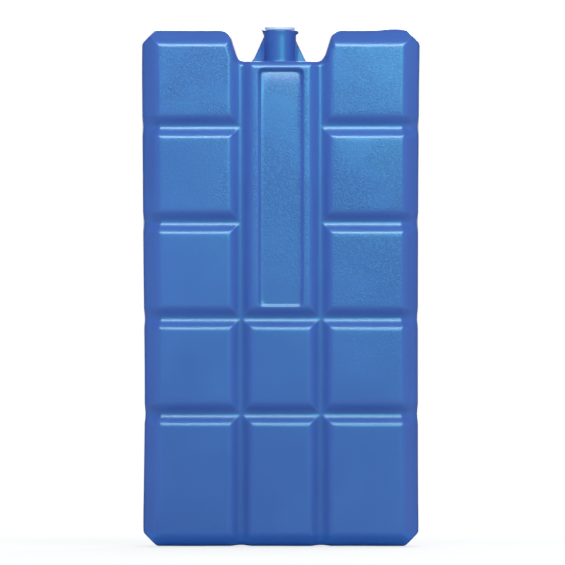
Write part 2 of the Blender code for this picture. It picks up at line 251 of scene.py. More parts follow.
class Wire:
    """One output socket; arithmetic on it adds Math nodes to its tree."""

    def __init__(self, finish, socket):
        self.finish = finish
        self.socket = socket

    def maths(self, operation, first, second):
        sockets = {0: first, 1: second}
        return self.finish.add("ShaderNodeMath", {"operation": operation}, sockets)

    def __add__(self, other):
        return self.maths("ADD", self, other)

    def __radd__(self, other):
        return self.maths("ADD", other, self)

    def __sub__(self, other):
        return self.maths("SUBTRACT", self, other)

    def __rsub__(self, other):
        return self.maths("SUBTRACT", other, self)

    def __mul__(self, other):
        return self.maths("MULTIPLY", self, other)

    def __rmul__(self, other):
        return self.maths("MULTIPLY", other, self)


class Finish:
    """A material's or a world's look, built node by node."""

    def __init__(self, holder):
        holder.use_nodes = True
        self.holder = holder
        self.tree = holder.node_tree
        self.tree.nodes.clear()

    def add(self, kind, settings, sockets, output=0):
        """A node of a type, with its settings, then its sockets' values or links."""
        node = self.tree.nodes.new(kind)
        for name, value in settings.items():
            setattr(node, name, value)
        for name, value in sockets.items():
            if isinstance(value, Wire):
                self.tree.links.new(value.socket, node.inputs[name])
            else:
                node.inputs[name].default_value = value
        if node.outputs:
            return Wire(self, node.outputs[output])

    def place(self):
        return self.add("ShaderNodeTexCoord", {}, {}, "Object")

    def attribute(self, name):
        return self.add("ShaderNodeAttribute", {"attribute_name": name}, {}, "Fac")

    def noise(self, scale, detail, roughness=0.5, where=None):
        sockets = {"Scale": scale, "Detail": detail, "Roughness": roughness}
        sockets["Vector"] = where or self.place()
        return self.add("ShaderNodeTexNoise", {}, sockets, "Fac")

    def between(self, value, low, high):
        """0 at low and under, 1 at high and over, with soft ends."""
        settings = {"interpolation_type": "SMOOTHSTEP"}
        sockets = {"Value": value, "From Min": low, "From Max": high}
        return self.add("ShaderNodeMapRange", settings, sockets)

    def mix_colour(self, share, first, second):
        sockets = {0: share, 6: first, 7: second}
        return self.add("ShaderNodeMix", {"data_type": "RGBA"}, sockets, 2)

    def bump(self, height, strength, distance):
        sockets = {"Height": height, "Strength": strength, "Distance": distance}
        return self.add("ShaderNodeBump", {}, sockets)

    def surface(self, **sockets):
        """The shader that the piece shows, from a Principled BSDF's sockets."""
        named = {name.replace("_", " "): value for name, value in sockets.items()}
        self.show(self.add("ShaderNodeBsdfPrincipled", {}, named))

    def show(self, shader, kind="ShaderNodeOutputMaterial"):
        self.add(kind, {}, {"Surface": shader})

    def seen_direct(self):
        """1 for rays of the camera, of reflections and of what is seen through, 0 for others."""
        camera, glossy, through = (
            self.add("ShaderNodeLightPath", {}, {}, f"Is {kind} Ray")
            for kind in ("Camera", "Glossy", "Transmission")
        )
        return camera + glossy + through


def block_plastic(name, gloss):
    """Opaque blue polyethylene under a satin coat, whose weight is the gloss.

    All of it has a soft orange peel. The faces towards the top and the right are pebbled too, in
    patches, where the mould was blasted, and the pebbles' tops carry a painted glint in a lighter
    blue. The down-facing foot carries a deeper blue, which is painted bounce light.
    """
    finish = Finish(bpy.data.materials.new(name))
    place = finish.place()
    cloud = finish.noise(CLOUDS, 2.0, 0.5, place)
    pebbles = finish.noise(PEBBLES, 1.5, 0.6, place)
    peel = finish.noise(PEEL, 1.0, 0.5, place)
    patches = finish.noise(PATCHES, 1.0, 0.5, place)
    ridge, face = (finish.attribute(label) for label in ("ridge", "face"))
    across, up = (finish.add("ShaderNodeSeparateXYZ", {}, {0: place}, axis) for axis in "XZ")

    blasted = finish.between(up + across * 0.8 + (cloud - 0.5) * 0.05, *BLASTED)
    patchy = finish.between(patches + across * 2.0, 0.36, 0.56) * 0.6 + 0.4
    grain = blasted * patchy * face
    height = (pebbles - 0.5) * grain + (peel - 0.5) * 0.04

    lighter = finish.between(cloud + ridge * 0.25, 0.38, 0.72)
    # Painted bounce light: the foot's deeper blue stands in for light thrown up from below
    foot = 1.0 - finish.between(up, *PAINTED_BOUNCE_END)
    # Painted glint: lighter blue on the pebbles' tops, where the light falls on the grain
    painted_glint = finish.between(pebbles, 0.45, 0.68) * grain
    colour = finish.mix_colour(lighter, DEEP_BLUE, LIGHT_BLUE)
    colour = finish.mix_colour(foot * 0.85, colour, PAINTED_BOUNCE_BLUE)
    colour = finish.mix_colour(painted_glint * 0.55, colour, PAINTED_GLINT_BLUE)
    finish.surface(
        Base_Color=colour,
        Roughness=0.45 + (cloud - 0.5) * 0.1,
        Specular_IOR_Level=0.6,
        Specular_Tint=GREEN_TINT,
        Coat_Weight=gloss,
        Coat_Roughness=0.25,
        Coat_IOR=1.55,
        Normal=finish.bump(height, 1.0, 0.0007),
    )
    return finish.holder


def plug_plastic():
    """Pale bluish white polyethylene, a little cloudy."""
    finish = Finish(bpy.data.materials.new("pale plug plastic"))
    cloud = finish.noise(PLUG_CLOUDS, 2.0)
    finish.surface(
        Base_Color=finish.mix_colour(finish.between(cloud, 0.35, 0.7), PLUG_DULL, PLUG_PALE),
        Roughness=0.36 + cloud * 0.12,
        Normal=finish.bump(finish.noise(PEBBLES, 1.0), 0.25, 0.00004),
    )
    return finish.holder


def studio_floor():
    """A diffuse white that shows pure white instead to the camera and to reflections.

    It does so in part near the block, and wholly from 0.45 m away.
    """
    finish = Finish(bpy.data.materials.new("studio floor"))
    length = {"operation": "LENGTH"}
    away = finish.add("ShaderNodeVectorMath", length, {0: finish.place()}, 1)
    share = NEAR_WHITE + finish.between(away, 0.1, 0.45) * (1.0 - NEAR_WHITE)
    diffuse = finish.add("ShaderNodeBsdfDiffuse", {}, {"Color": FLOOR_GREY})
    white = finish.add("ShaderNodeEmission", {}, {"Color": WHITE, "Strength": 1.0})
    sockets = {0: finish.seen_direct() * share, 1: diffuse, 2: white}
    finish.show(finish.add("ShaderNodeMixShader", {}, sockets))
    return finish.holder


def white_world():
    """White to the camera and to reflections, and a dimmer white as the even light elsewhere."""
    finish = Finish(bpy.data.worlds.new("studio"))
    fill, white = (
        finish.add("ShaderNodeBackground", {}, {"Color": WHITE, "Strength": level})
        for level in (WORLD_LEVEL, 1.0)
    )
    shader = finish.add("ShaderNodeMixShader", {}, {0: finish.seen_direct(), 1: fill, 2: white})
    finish.show(shader, "ShaderNodeOutputWorld")
    return finish.holder


def dark_card():
    """The unlit room in front of the block, which its faces would otherwise mirror as white."""
    finish = Finish(bpy.data.materials.new("dark card"))
    finish.show(finish.add("ShaderNodeBsdfDiffuse", {}, {"Color": CARD_GREY}))
    return finish.holder


def smooth_max(first, second, blend):
    """The larger of two values, joined by a parabola where they differ by less than blend."""
    near = np.maximum(blend - np.abs(first - second), 0.0) / blend
    return np.maximum(first, second) + near * near * blend / 4


def smooth_min(first, second, blend):
    """The smaller of two values, joined by a parabola where they differ by less than blend."""
    return -smooth_max(-first, -second, blend)


def smooth_step(share):
    """3t^2 - 2t^3 of a share held between 0 and 1."""
    held = np.clip(share, 0.0, 1.0)
    return held * held * (3 - 2 * held)


def ripple(x, z, wavelength, seed):
    """A quarter of the sum of eight plane waves, in directions and phases of their own.

    Their lengths are 0.75 to 1.5 times the wavelength, and the sum stays between about -1 and 1.
    """
    draw = np.random.default_rng(seed)
    total = np.zeros(np.broadcast(x, z).shape)
    for _ in range(8):
        angle = draw.uniform(0, math.tau)
        phase = draw.uniform(0, math.tau)
        rate = math.tau / (wavelength * draw.uniform(0.75, 1.5))
        total += np.sin(rate * (x * math.cos(angle) + z * math.sin(angle)) + phase)
    return total / 4


def side_line(z):
    """Half the width at a height: full, less a taper to the bottom and a draw-in at the waist."""
    share = z / HEIGHT
    return HALF_WIDTH - BOTTOM_NARROWING * (1 - share) - SIDE_WAIST * 4 * share * (1 - share)


def trough(distance):
    """The cross-section of a groove's run-out: (1 - (d/w)^2)^2 to the half-width w, then 0."""
    return np.maximum(1 - (distance / TROUGH_HALF) ** 2, 0.0) ** 2


def row_trough(z):
    return sum(trough(z - centre) for centre in ROW_GROOVES)


def column_trough(x):
    return trough(np.abs(x) - COLUMN_GROOVE)


def run_out(dip, inside):
    """How far a groove pushes its flank inwards, at a distance inside the outline.

    It is the groove's dip times TROUGH_AT_FLANK, and more towards the groove's own end, where it
    has grown by TROUGH_AT_HEAD.
    """
    head = np.clip((inside - TROUGH_HEAD_FROM) / TROUGH_HEAD_RUN, 0.0, 1.0)
    return dip * (TROUGH_AT_FLANK + TROUGH_AT_HEAD * head)


def ramp(distance):
    """The depth of a groove's slope away from its centre line, below 0 outside the groove."""
    return (GROOVE_HALF - np.abs(distance)) * GROOVE_SLOPE


def notch_distance(x, z):
    """How far a point of the skin lies from the notch's floor, its leaning wall or their round."""
    across = np.abs(x)
    lean = (NOTCH_HALF_MOUTH - NOTCH_HALF_FLOOR) / (HEIGHT - NOTCH_FLOOR)
    length = math.hypot(1.0, lean)
    turn = lean / length
    under = NOTCH_FLOOR + NOTCH_ROUND - z
    beside = (across - NOTCH_HALF_FLOOR - lean * (z - NOTCH_FLOOR)) / length + NOTCH_ROUND
    square = under ** 2 + beside ** 2 - 2 * turn * under * beside
    both = np.sqrt(np.maximum(square, 0.0) / (1 - turn ** 2))
    wall = np.where(under <= turn * beside, beside, both)
    return np.where(beside <= turn * under, under, wall) - NOTCH_ROUND


def notch_flank(x, z):
    """The depth of the narrow flank along the notch, over its floor taken from the groove there.

    Its reach changes from the floor's to the wall's where the floor ends, and the groove's depth
    fades out above the floor.
    """
    across = np.abs(x)
    wall = smooth_step((across - NOTCH_WALL_FROM) / NOTCH_FADE)
    reach = NOTCH_FLOOR_FLANK + (NOTCH_WALL_FLANK - NOTCH_FLOOR_FLANK) * wall
    groove = np.clip(ramp(across - COLUMN_GROOVE), 0.0, GROOVE_DEPTH)
    groove = groove * (1 - smooth_step((z - NOTCH_GROOVE_END) / NOTCH_FADE))
    return (reach - notch_distance(x, z)) * GROOVE_SLOPE + groove


def field_inside(x, z):
    """How far a point lies inside the recessed field's round-cornered outline, below 0 outside."""
    middle, half_height = (FIELD_LOW + FIELD_HIGH) / 2, (FIELD_HIGH - FIELD_LOW) / 2
    dx = np.abs(x) - (FIELD_HALF_WIDTH - FIELD_ROUND)
    dz = np.abs(z - middle) - (half_height - FIELD_ROUND)
    outside = np.hypot(np.maximum(dx, 0.0), np.maximum(dz, 0.0))
    return FIELD_ROUND - (outside + np.minimum(np.maximum(dx, dz), 0.0))


def field_depth(z):
    """How deep the recessed floor lies.

    Below its full depth it dips by HEAD_DIP exp(-d/HEAD_DIP_LENGTH) at a distance d from its head,
    and it rises by FOOT_RISE exp(-d/FOOT_RISE_LENGTH) at a distance d from its foot.
    """
    from_head = np.maximum(FIELD_HIGH - FIELD_WALL - z, 0.0)
    from_foot = np.maximum(z - FIELD_LOW - FIELD_WALL, 0.0)
    dip = HEAD_DIP * np.exp(-from_head / HEAD_DIP_LENGTH)
    return FIELD_DEPTH + (dip - FOOT_RISE * np.exp(-from_foot / FOOT_RISE_LENGTH))


def crown(x, z):
    """How far a pillow's face falls from its middle to its edges: a parabola each way."""
    across = np.abs(x)
    in_panel = across < COLUMN_GROOVE
    foot, head = BOTTOM_FLANK_REACH - GROOVE_HALF, HEIGHT - TOP_FLANK_REACH + GROOVE_HALF
    edges = np.array((foot, *ROW_GROOVES, head))
    row = np.clip(np.searchsorted(edges, z) - 1, 0, len(edges) - 2)
    low, high = edges[row], edges[row + 1]
    long_panel = in_panel & (row >= ROWS_BELOW_PANEL)
    low = np.where(long_panel, edges[ROWS_BELOW_PANEL], low)
    high = np.where(long_panel, NOTCH_FLOOR + 1.0, high)
    right = HALF_WIDTH - FLANK_REACH + GROOVE_HALF
    centre = np.where(in_panel, 0.0, (COLUMN_GROOVE + right) / 2)
    half = np.where(in_panel, COLUMN_GROOVE, (right - COLUMN_GROOVE) / 2)
    u = np.clip((across - centre) / half, -1, 1)
    v = np.clip((z - (low + high) / 2) / ((high - low) / 2), -1, 1)
    return CROWN * (u * u + v * v) / 2


def depth(x, z, seed):
    """How far the skin lies below the pillows' faces.

    Each pillow is a block whose four slopes fall at about 49 degrees, so the depth is the largest
    of the slopes' depths, held at the valley's depth, joined to the flanks' depths and to the flat
    face, every time by a smooth maximum or minimum. The slight crown, the recessed field with its
    smooth wall, and a long and a short ripple are added.
    """
    across = np.abs(x)
    rows = np.full(np.broadcast(x, z).shape, NO_GROOVE)
    for index, centre in enumerate(ROW_GROOVES):
        slope = ramp(z - centre)
        if index >= ROWS_BELOW_PANEL:
            slope = np.where(across < COLUMN_GROOVE, NO_GROOVE, slope)
        rows = np.maximum(rows, slope)
    slopes = smooth_max(rows, ramp(across - COLUMN_GROOVE), MITRE_BLEND)
    grooves = smooth_min(slopes, GROOVE_DEPTH, VALLEY_BLEND)
    grooves = smooth_max(grooves, notch_flank(x, z), MITRE_BLEND)
    side_push = run_out(row_trough(z), side_line(z) - across)
    side = (across - side_line(z) + FLANK_REACH + side_push) * FLANK_SLOPE
    top = (z - HEIGHT + TOP_FLANK_REACH) * TOP_FLANK_SLOPE
    bottom = (BOTTOM_FLANK_REACH - z + run_out(column_trough(x), z)) * BOTTOM_FLANK_SLOPE
    flanks = smooth_max(smooth_max(side, top, FLANK_BLEND), bottom, FLANK_BLEND)
    steep = smooth_max(grooves, flanks, MITRE_BLEND)
    skin = smooth_max(steep, 0.0, EDGE_BLEND)
    skin = skin + crown(x, z) * np.clip(1 - skin / CROWN_DEPTH, 0, 1) ** 2
    skin = skin + field_depth(z) * smooth_step(field_inside(x, z) / FIELD_WALL)
    long_ripple = LONG_WAVE * ripple(x, z, LONG_WAVELENGTH, seed)
    return skin + long_ripple + SHORT_WAVE * ripple(x, z, SHORT_WAVELENGTH, seed + 1)


def arc_corner(before, corner, after, radius, steps=24):
    """A corner's round, tangent to the lines from the point before and to the point after."""
    corner = np.array(corner, float)
    back = np.array(before, float) - corner
    ahead = np.array(after, float) - corner
    back, ahead = back / np.hypot(*back), ahead / np.hypot(*ahead)
    half = math.acos(float(back @ ahead)) / 2
    bisector = (back + ahead) / np.hypot(*(back + ahead))
    centre = corner + bisector * radius / math.sin(half)
    start, end = (corner + way * radius / math.tan(half) - centre for way in (back, ahead))
    first = math.atan2(start[1], start[0])
    turn = math.atan2(start[0] * end[1] - start[1] * end[0], float(start @ end))
    angles = first + turn * np.linspace(0, 1, steps)
    return centre + radius * np.stack([np.cos(angles), np.sin(angles)], 1)


def outline_path(corners, radii):
    """A path of straight runs with rounded corners: points 0.1 apart, and the way along to each."""
    points = [np.array([corners[0]], float)]
    for index in range(1, len(corners) - 1):
        points.append(arc_corner(*corners[index - 1:index + 2], radii[index]))
    points.append(np.array([corners[-1]], float))
    rough = np.concatenate(points)
    along = np.concatenate([[0.0], np.cumsum(np.hypot(*np.diff(rough, axis=0).T))])
    even = np.unique(np.concatenate([np.arange(0, along[-1], 0.1), along]))
    return np.stack([np.interp(even, along, rough[:, axis]) for axis in (0, 1)], 1), even


def graded(start, *runs):
    """Grid lines from a start and (end, spacing) runs."""
    lines = [start]
    for end, spacing in runs:
        count = max(1, round((end - lines[-1]) / spacing))
        lines.extend(np.linspace(lines[-1], end, count + 1)[1:])
    return np.array(lines)


def sample(path, along, places):
    """Points and outward normals of a path at distances along it, the path running clockwise."""
    nearby = 0.15
    point, ahead, behind = (
        np.stack([np.interp(at, along, path[:, axis]) for axis in (0, 1)], 1)
        for at in (places, places + nearby, places - nearby)
    )
    tangent = ahead - behind
    tangent /= np.hypot(*tangent.T)[:, None]
    return point, np.stack([-tangent[:, 1], tangent[:, 0]], 1)


def block_grid():
    """The grid lines of the front, and where their ends lie on the outline at the parting line.

    The columns end on the bottom and on the top with its notch, the rows on the sides, and the
    grid's corners are the middles of the four corner cuts. The lines are closest at the grooves,
    and marks tie chosen lines to their own places on the outline. The left side has sunk in a
    little low down. Returns columns, rows and the points and outward normals of the right half's
    top and bottom and of both sides.
    """
    half_columns = graded(
        0.0, (6.3, 1.05), (7.9, 0.2), (9.3, 0.4), (16.7, 0.33), (21.0, 0.5), (38.0, 1.2),
        (43.5, 0.42),
    )
    rows = graded(
        1.5, (6.0, 0.4), (38.7, 1.2), (47.1, 0.37), (69.8, 1.2), (76.8, 0.37), (78.8, 0.2),
        (101.0, 1.2), (109.4, 0.37), (132.1, 1.2), (140.5, 0.37), (150.0, 0.8), (160.8, 0.6),
        (165.9, 0.35),
    )
    top_marks, bottom_mark, side_marks = (11.4, 20.1, 37.0), 36.0, (14.0, 150.0)

    cut = CORNER_CUT / 2
    top_corners = [
        (0, NOTCH_FLOOR), (NOTCH_HALF_FLOOR, NOTCH_FLOOR), (NOTCH_HALF_MOUTH, HEIGHT),
        (HALF_WIDTH - CORNER_CUT, HEIGHT), (HALF_WIDTH - cut, HEIGHT - cut),
    ]
    top_radii = [0, NOTCH_ROUND, NOTCH_ROUND, CORNER_ROUND, 0]
    top_path, top_along = outline_path(top_corners, top_radii)
    foot = HALF_WIDTH - BOTTOM_NARROWING
    side_corners = [
        (foot - cut, cut), (foot, CORNER_CUT), (HALF_WIDTH, HEIGHT - CORNER_CUT),
        (HALF_WIDTH - cut, HEIGHT - cut),
    ]
    side_path, side_along = outline_path(side_corners, [0, CORNER_ROUND, CORNER_ROUND, 0])
    bottom_corners = [(0, 0), (foot - CORNER_CUT, 0), (foot - cut, cut)]
    bottom_path, bottom_along = outline_path(bottom_corners, [0, CORNER_ROUND, 0])

    top_arcs = [np.interp(x, top_path[:, 0], top_along) for x in top_marks]
    top_places = np.interp(
        half_columns, [0, *top_marks, half_columns[-1]], [0, *top_arcs, top_along[-1]]
    )
    bottom_places = np.interp(
        half_columns, [0, bottom_mark, half_columns[-1]], [0, bottom_mark, bottom_along[-1]]
    )
    side_arcs = [np.interp(z, side_path[:, 1], side_along) for z in side_marks]
    side_places = np.interp(
        rows, [rows[0], *side_marks, rows[-1]], [0, *side_arcs, side_along[-1]]
    )

    top = sample(top_path, top_along, top_places)
    bottom_point, bottom_normal = sample(bottom_path, bottom_along, bottom_places)
    side_point, side_normal = sample(side_path, side_along, side_places)
    middle = side_point[:, 1]
    waist = SIDE_WAIST * 4 * middle / HEIGHT * (1 - middle / HEIGHT)
    past_cuts = np.minimum(middle - CORNER_CUT, HEIGHT - CORNER_CUT - middle)
    fade = smooth_step(past_cuts / CORNER_FADE)
    side_point[:, 0] -= waist * fade
    sink = LEFT_SINK * np.exp(-((middle - SINK_HEIGHT) / SINK_SPREAD) ** 2) - LEFT_SWELL
    left_point = side_point * (-1, 1)
    left_point[:, 0] += fade * sink
    left = left_point, side_normal * (1, -1)
    return half_columns, rows, top, (bottom_point, -bottom_normal), (side_point, -side_normal), left


def as_mesh(name, points, quads, attributes=()):
    """A smooth piece at the origin, from points in millimetres.

    Each array of quads holds corner numbers, one row to a face of three or more corners.
    """
    mesh = bpy.data.meshes.new(name)
    mesh.vertices.add(len(points))
    mesh.vertices.foreach_set("co", (points * MM).astype(np.float32).ravel())
    corners = np.concatenate([group.ravel() for group in quads])
    sizes = np.concatenate([np.full(len(group), group.shape[1]) for group in quads])
    mesh.loops.add(len(corners))
    mesh.loops.foreach_set("vertex_index", corners.astype(np.int32))
    mesh.polygons.add(len(sizes))
    starts = np.concatenate([[0], np.cumsum(sizes)[:-1]])
    mesh.polygons.foreach_set("loop_start", starts.astype(np.int32))
    for label, values in attributes:
        layer = mesh.attributes.new(label, "FLOAT", "POINT")
        layer.data.foreach_set("value", values.astype(np.float32))
    mesh.update(calc_edges=True)
    mesh.validate()
    mesh.shade_smooth()
    piece = bpy.data.objects.new(name, mesh)
    bpy.context.scene.collection.objects.link(piece)
    return piece


def mirrored(half):
    """The left half's points or normals before the right half's own, the middle one used once."""
    return np.concatenate([half[:0:-1] * (-1, 1), half])


def ring_faces(loops):
    """Quads between each closed loop of corner numbers and the next."""
    inner, outer = loops[:-1], loops[1:]
    after_inner, after_outer = np.roll(inner, -1, 1), np.roll(outer, -1, 1)
    return np.stack([inner, outer, after_outer, after_inner], -1).reshape(-1, 4)


def make_shell():
    """The block's whole skin: a front and a back sheet, and between them the edge and the band.

    The sheet's point (i, j) is the grid's own point moved by a Coons patch, so that the border
    lies EDGE_INSET inside the outline. From the border a parabola turns the flank over into the
    band, which runs with a slight draft to the parting line and meets the other half in a low
    seam. Over the long panel the turned-over edge is crisp, there is no seam, and the notch's
    floor sags to the parting line.
    """
    half_columns, rows, top, bottom, right_side, left_side = block_grid()
    columns = np.concatenate([-half_columns[:0:-1], half_columns])
    nx, nz = len(columns), len(rows)
    top_point, top_normal = (mirrored(values) for values in top)
    bottom_point, bottom_normal = (mirrored(values) for values in bottom)

    loop_point, loop_normal = (
        np.concatenate([low, right[1:], high[-2::-1], left[-2:0:-1]])
        for low, right, high, left in zip(
            (bottom_point, bottom_normal), right_side, (top_point, top_normal), left_side
        )
    )
    loop_normal /= np.hypot(*loop_normal.T)[:, None]
    loop_x, loop_z = loop_point.T
    grid = np.arange(nx * nz).reshape(nx, nz)
    border = np.concatenate([grid[:, 0], grid[-1, 1:], grid[-2::-1, -1], grid[0, -2:0:-1]])

    on_side = smooth_step((np.abs(loop_x) - SIDE_FROM) / SIDE_FADE)
    on_bottom = smooth_step((BOTTOM_BELOW - loop_z) / SIDE_FADE)
    dips = row_trough(loop_z) * on_side + column_trough(loop_x) * on_bottom
    side_share = SIDE_TROUGH_AT_FOOT - SIDE_TROUGH_LOSS * loop_z / HEIGHT
    seam_dips = dips * np.where(on_bottom > 0, 1.0, side_share) * TROUGH_AT_PARTING
    over_panel = smooth_step((HEAD_HALF - np.abs(loop_x)) / HEAD_FADE) * (loop_z > HEIGHT / 2)
    shoulder = smooth_step((loop_z - HEIGHT + BULGE_REACH) / BULGE_REACH)
    bulge = BULGE * np.exp(-((loop_x - BULGE_CENTRE) / BULGE_SPREAD) ** 2) * shoulder
    rough = RIM_WAVE * ripple(loop_x, loop_z, RIM_WAVELENGTH, RIM_SEED)
    edge_inset = EDGE_INSET + (PANEL_EDGE_INSET - EDGE_INSET) * over_panel
    edge_drop = EDGE_DROP + (PANEL_EDGE_DROP - EDGE_DROP) * over_panel
    band_inset = BAND_INSET * (1 - over_panel)
    corner_inset = band_inset + TROUGH_AT_BAND * dips + rough - BULGE_AT_EDGE * bulge
    seam_inset = seam_dips - bulge + NOTCH_SAG * over_panel
    seam_rise = SEAM_RISE * (1 - over_panel)

    def loop_at(inset):
        return loop_point - loop_normal * inset[:, None]

    def pull(lines, start, end):
        """0 up to a start, and in a straight line to 1 at an end."""
        return np.clip((lines - start) / (end - start), 0, 1)

    def sheet(seed, facing):
        """The points of one half's sheet, and of the rings from its border to the seam."""
        edge = loop_at(edge_inset + TROUGH_AT_FLANK * dips)
        bottom_edge, right_edge = edge[:nx], edge[nx - 1:nx + nz - 1]
        top_edge = edge[nx + nz - 2:2 * nx + nz - 2][::-1]
        left_edge = np.concatenate([edge[:1], edge[2 * nx + nz - 3:][::-1]])
        core = np.stack(np.meshgrid(columns, rows, indexing="ij"), -1)
        low = pull(-rows, -PULL_LOW, -rows[0])[None, :, None]
        high = pull(rows, PULL_HIGH, rows[-1])[None, :, None]
        left, right = (
            pull(side, PULL_SIDE, columns[-1])[:, None, None] for side in (-columns, columns)
        )
        move_low = (bottom_edge - core[:, 0])[:, None]
        move_high = (top_edge - core[:, -1])[:, None]
        move_left = (left_edge - core[0])[None]
        move_right = (right_edge - core[-1])[None]
        point = core + low * move_low + high * move_high + left * move_left + right * move_right
        for rise, move in ((low, move_low), (high, move_high)):
            point -= rise * left * move[:1] + rise * right * move[-1:]
        x, z = point[..., 0], point[..., 1]
        fall = depth(x, z, seed)
        flat = np.stack([x, facing * (HALF_THICKNESS - fall), z], -1).reshape(-1, 3)

        corner = loop_at(corner_inset)
        border_depth = fall.reshape(-1)[border]
        corner_depth = depth(corner[:, 0], corner[:, 1], seed)
        turned_depth = corner_depth + edge_drop
        loops = []
        for share in (0.2, 0.4, 0.6, 0.8, 1.0):
            near, middle, far = (1 - share) ** 2, 2 * share * (1 - share), share * share
            level = near * border_depth + middle * corner_depth + far * turned_depth
            loops.append((near * edge + (middle + far) * corner, level))
        for share in (0.25, 0.5, 0.75, 0.93):
            level = turned_depth + (HALF_THICKNESS - turned_depth) * share
            loops.append((loop_at(corner_inset * (1 - share) + seam_inset * share), level))
        loops.append((loop_at(seam_inset), np.full(len(dips), HALF_THICKNESS - SEAM_HALF)))
        rings = [np.stack([p[:, 0], facing * (HALF_THICKNESS - d), p[:, 1]], -1) for p, d in loops]
        return flat, np.concatenate(rings), len(loops)

    front, front_rings, ring_count = sheet(FRONT_SEED, -1)
    back, back_rings, _ = sheet(BACK_SEED, 1)
    seam = loop_at(seam_inset - seam_rise)
    seam = np.stack([seam[:, 0], np.zeros(len(seam)), seam[:, 1]], -1)
    points = np.concatenate([front, front_rings, seam, back_rings, back])

    count = len(border)
    ring_numbers = np.arange(ring_count * count).reshape(ring_count, count)
    seam_start = nx * nz + ring_count * count
    back_start = seam_start + count
    back_grid = back_start + ring_count * count
    loops = np.concatenate([
        border[None], nx * nz + ring_numbers, seam_start + np.arange(count)[None],
        (back_start + ring_numbers)[::-1], (border + back_grid)[None],
    ])
    cells = np.stack([grid[:-1, :-1], grid[1:, :-1], grid[1:, 1:], grid[:-1, 1:]], -1)
    cells = cells.reshape(-1, 4)
    quads = [cells, cells[:, ::-1] + back_grid, ring_faces(loops)]
    ridge, face = skin_shares(points, nx, nz, 0, back_grid)
    return as_mesh("block_shell", points, quads, (("ridge", ridge), ("face", face)))


def skin_shares(points, nx, nz, *starts):
    """Two shares of the sheets' points, 0 to 1, from the depths of their neighbours each way.

    The ridge share grows with the second difference, where the skin turns outwards. The face share
    is 1 on the pillows' faces and the recessed floor, and 0 in the valleys and where the slope is
    over a third.
    """
    ridge, face = np.zeros(len(points)), np.zeros(len(points))
    neighbours = (
        (np.s_[:-2], np.s_[1:-1], np.s_[2:]), (np.s_[:, :-2], np.s_[:, 1:-1], np.s_[:, 2:])
    )
    for start in starts:
        part = slice(start, start + nx * nz)
        deep = HALF_THICKNESS - np.abs(points[part, 1]).reshape(nx, nz)
        place = points[part][:, [0, 2]].reshape(nx, nz, 2)
        bend, slopes = np.zeros((nx, nz)), np.ones((2, nx, nz))
        for slope, (before, middle, after) in zip(slopes, neighbours):
            gap = np.hypot(*np.moveaxis(place[after] - place[before], -1, 0))
            turn = deep[after] + deep[before] - 2 * deep[middle]
            bend[middle] += turn / np.maximum(gap / 2, 0.2) ** 2
            slope[middle] = (deep[after] - deep[before]) / gap
        ridge[part] = np.clip(bend / RIDGE_BEND, 0, 1).ravel()
        level = 1 - smooth_step((np.hypot(*slopes) - FACE_SLOPE) / FACE_SLOPE_FADE)
        shallow = 1 - smooth_step((deep - FACE_DEPTH) / FACE_DEPTH_FADE)
        face[part] = (level * shallow).ravel()
    return ridge, face


def turned(name, profile, sides, swell=None):
    """A profile of (radius, height) turned about the neck's axis, from its lower to its upper pole.

    The point at angle a is (r cos a, r sin a, h) beside the axis, with r and h changed by
    swell(r, h, a) where it is given.
    """
    profile = np.array(profile, float)
    angles = np.arange(sides) * math.tau / sides
    radius, angle = np.meshgrid(profile[1:-1, 0], angles, indexing="ij")
    height = np.repeat(profile[1:-1, 1:], sides, 1)
    if swell:
        radius, height = swell(radius, height, angle)
    x, y = radius * np.cos(angle) + NECK_SHIFT, radius * np.sin(angle)
    ring = np.stack([x, y, height], -1).reshape(-1, 3)
    poles = np.array([[NECK_SHIFT, 0, profile[end, 1]] for end in (0, -1)])
    numbers = np.arange(len(ring)).reshape(-1, sides)
    after = np.roll(numbers, -1, 1)
    low, high = len(ring), len(ring) + 1
    foot = np.stack([after[0], numbers[0], np.full(sides, low)], -1)
    cap = np.stack([numbers[-1], after[-1], np.full(sides, high)], -1)
    return as_mesh(name, np.concatenate([ring, poles]), [tube_faces(numbers), foot, cap])


def tube_faces(numbers):
    """Quads between each ring of corner numbers and the ring above it."""
    after = np.roll(numbers, -1, 1)
    return np.stack([numbers[:-1], after[:-1], after[1:], numbers[1:]], -1).reshape(-1, 4)


def round_points(radius_centre, height_centre, radius, first, last, steps):
    """Points of a round in a profile, between two angles in degrees."""
    angle = np.radians(np.linspace(first, last, steps))
    return list(zip(
        radius_centre + radius * np.cos(angle), height_centre + radius * np.sin(angle)
    ))


def near_angle(angle, centre, width):
    """A bump of 1 at one angle, falling as exp(-(da/width)^2)."""
    away = np.angle(np.exp(1j * (angle - centre)))
    return np.exp(-((away / width) ** 2))


